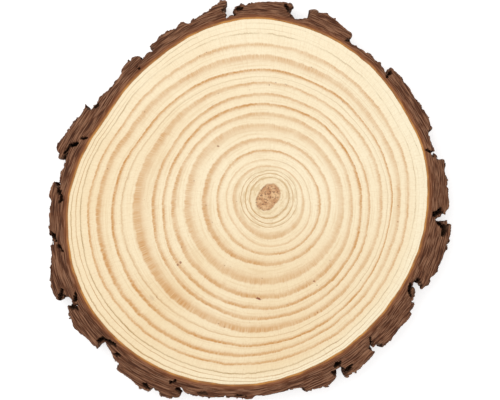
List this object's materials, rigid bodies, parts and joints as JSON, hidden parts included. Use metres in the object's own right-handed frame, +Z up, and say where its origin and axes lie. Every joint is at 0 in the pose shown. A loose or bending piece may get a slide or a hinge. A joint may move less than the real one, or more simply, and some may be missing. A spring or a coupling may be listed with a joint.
{
  "type": "wood slice",
  "caption": "Round slice sawn across a conifer stem, lying flat, with pale growth-ringed wood and a ragged ring of brown bark.",
  "frame": {"origin": "middle of the slice's outline box, on the lower sawn face that it rests on", "axes": "+Z up along the stem's grain, out of the upper sawn face; +X towards the side where the pith lies nearest the bark; +Y completes a right-handed frame"},
  "size_m": [0.2502, 0.2482, 0.022],
  "materials": {
    "wood": "sanded, dry and matt, with darker growth rings",
    "bark": "rough, dry and flaking"
  },
  "bodies": {
    "root": {"wood_disc": "wood", "bark_ring": "bark"}
  },
  "joints": []
}
